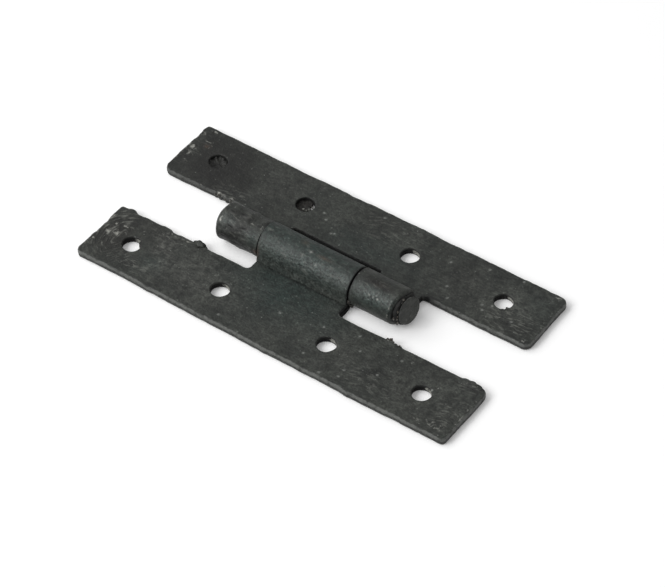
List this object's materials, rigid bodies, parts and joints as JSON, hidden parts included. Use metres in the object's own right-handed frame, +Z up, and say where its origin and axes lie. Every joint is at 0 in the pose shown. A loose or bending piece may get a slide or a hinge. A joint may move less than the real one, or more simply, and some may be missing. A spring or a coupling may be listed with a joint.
{
  "type": "h hinge",
  "caption": "Flat H-shaped strap hinge in black waxed steel: strip leaves with plain screw holes, joined by rolled knuckles on a peened pin.",
  "frame": {"origin": "centre of the hinge's outline, on the plane of the leaves' backs, almost under the middle of the barrel", "axes": "+X along the pin and the leaves' length, +Y across from the centre-knuckle leaf to the outer-knuckle leaf, +Z up out of the face that carries the barrel"},
  "size_m": [0.083, 0.0414, 0.0075],
  "materials": {
    "waxed_leaf": "satin",
    "waxed_pin": "matte"
  },
  "bodies": {
    "outer_leaf": {"outer_knuckle_leaf": "waxed_leaf", "hinge_pin": "waxed_pin"},
    "centre_leaf": {"centre_knuckle_leaf": "waxed_leaf"}
  },
  "joints": [
    {"name": "leaf_swing", "type": "hinge", "parent": "outer_leaf", "child": "centre_leaf", "pos_m": [-0.0014, 0, 0.00375], "axis": [-1, 0, 0], "range_deg": [-115, 188]}
  ]
}
